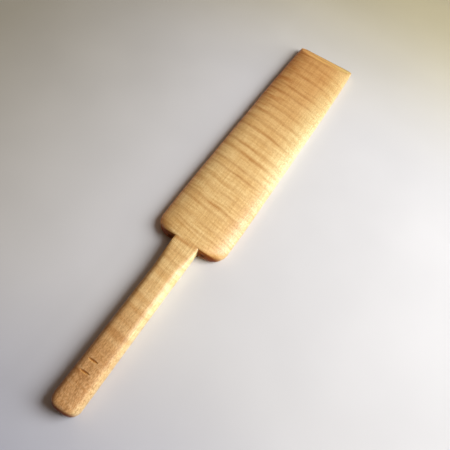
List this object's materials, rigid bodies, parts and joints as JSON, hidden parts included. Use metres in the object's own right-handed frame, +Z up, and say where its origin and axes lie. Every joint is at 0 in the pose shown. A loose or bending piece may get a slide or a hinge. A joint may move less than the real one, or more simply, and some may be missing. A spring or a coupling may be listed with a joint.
{
  "type": "wood edge slicker",
  "caption": "Flat maple paddle with a slim straight handle and a bevelled tip, for burnishing leather edges.",
  "frame": {"origin": "on the flat underside, at the middle of the tool's length and width", "axes": "+Y along the tool from the handle's end to the tip, +Z up through the thickness, +X across the blade to the right seen from the handle"},
  "size_m": [0.043, 0.2806, 0.0095],
  "materials": {
    "blade_maple": "curly maple, sanded smooth and wiped with oil, satin",
    "handle_maple": "curly maple with weaker figure, sanded smooth and wiped with oil, satin"
  },
  "bodies": {
    "root": {"blade": "blade_maple", "handle": "handle_maple"}
  },
  "joints": []
}
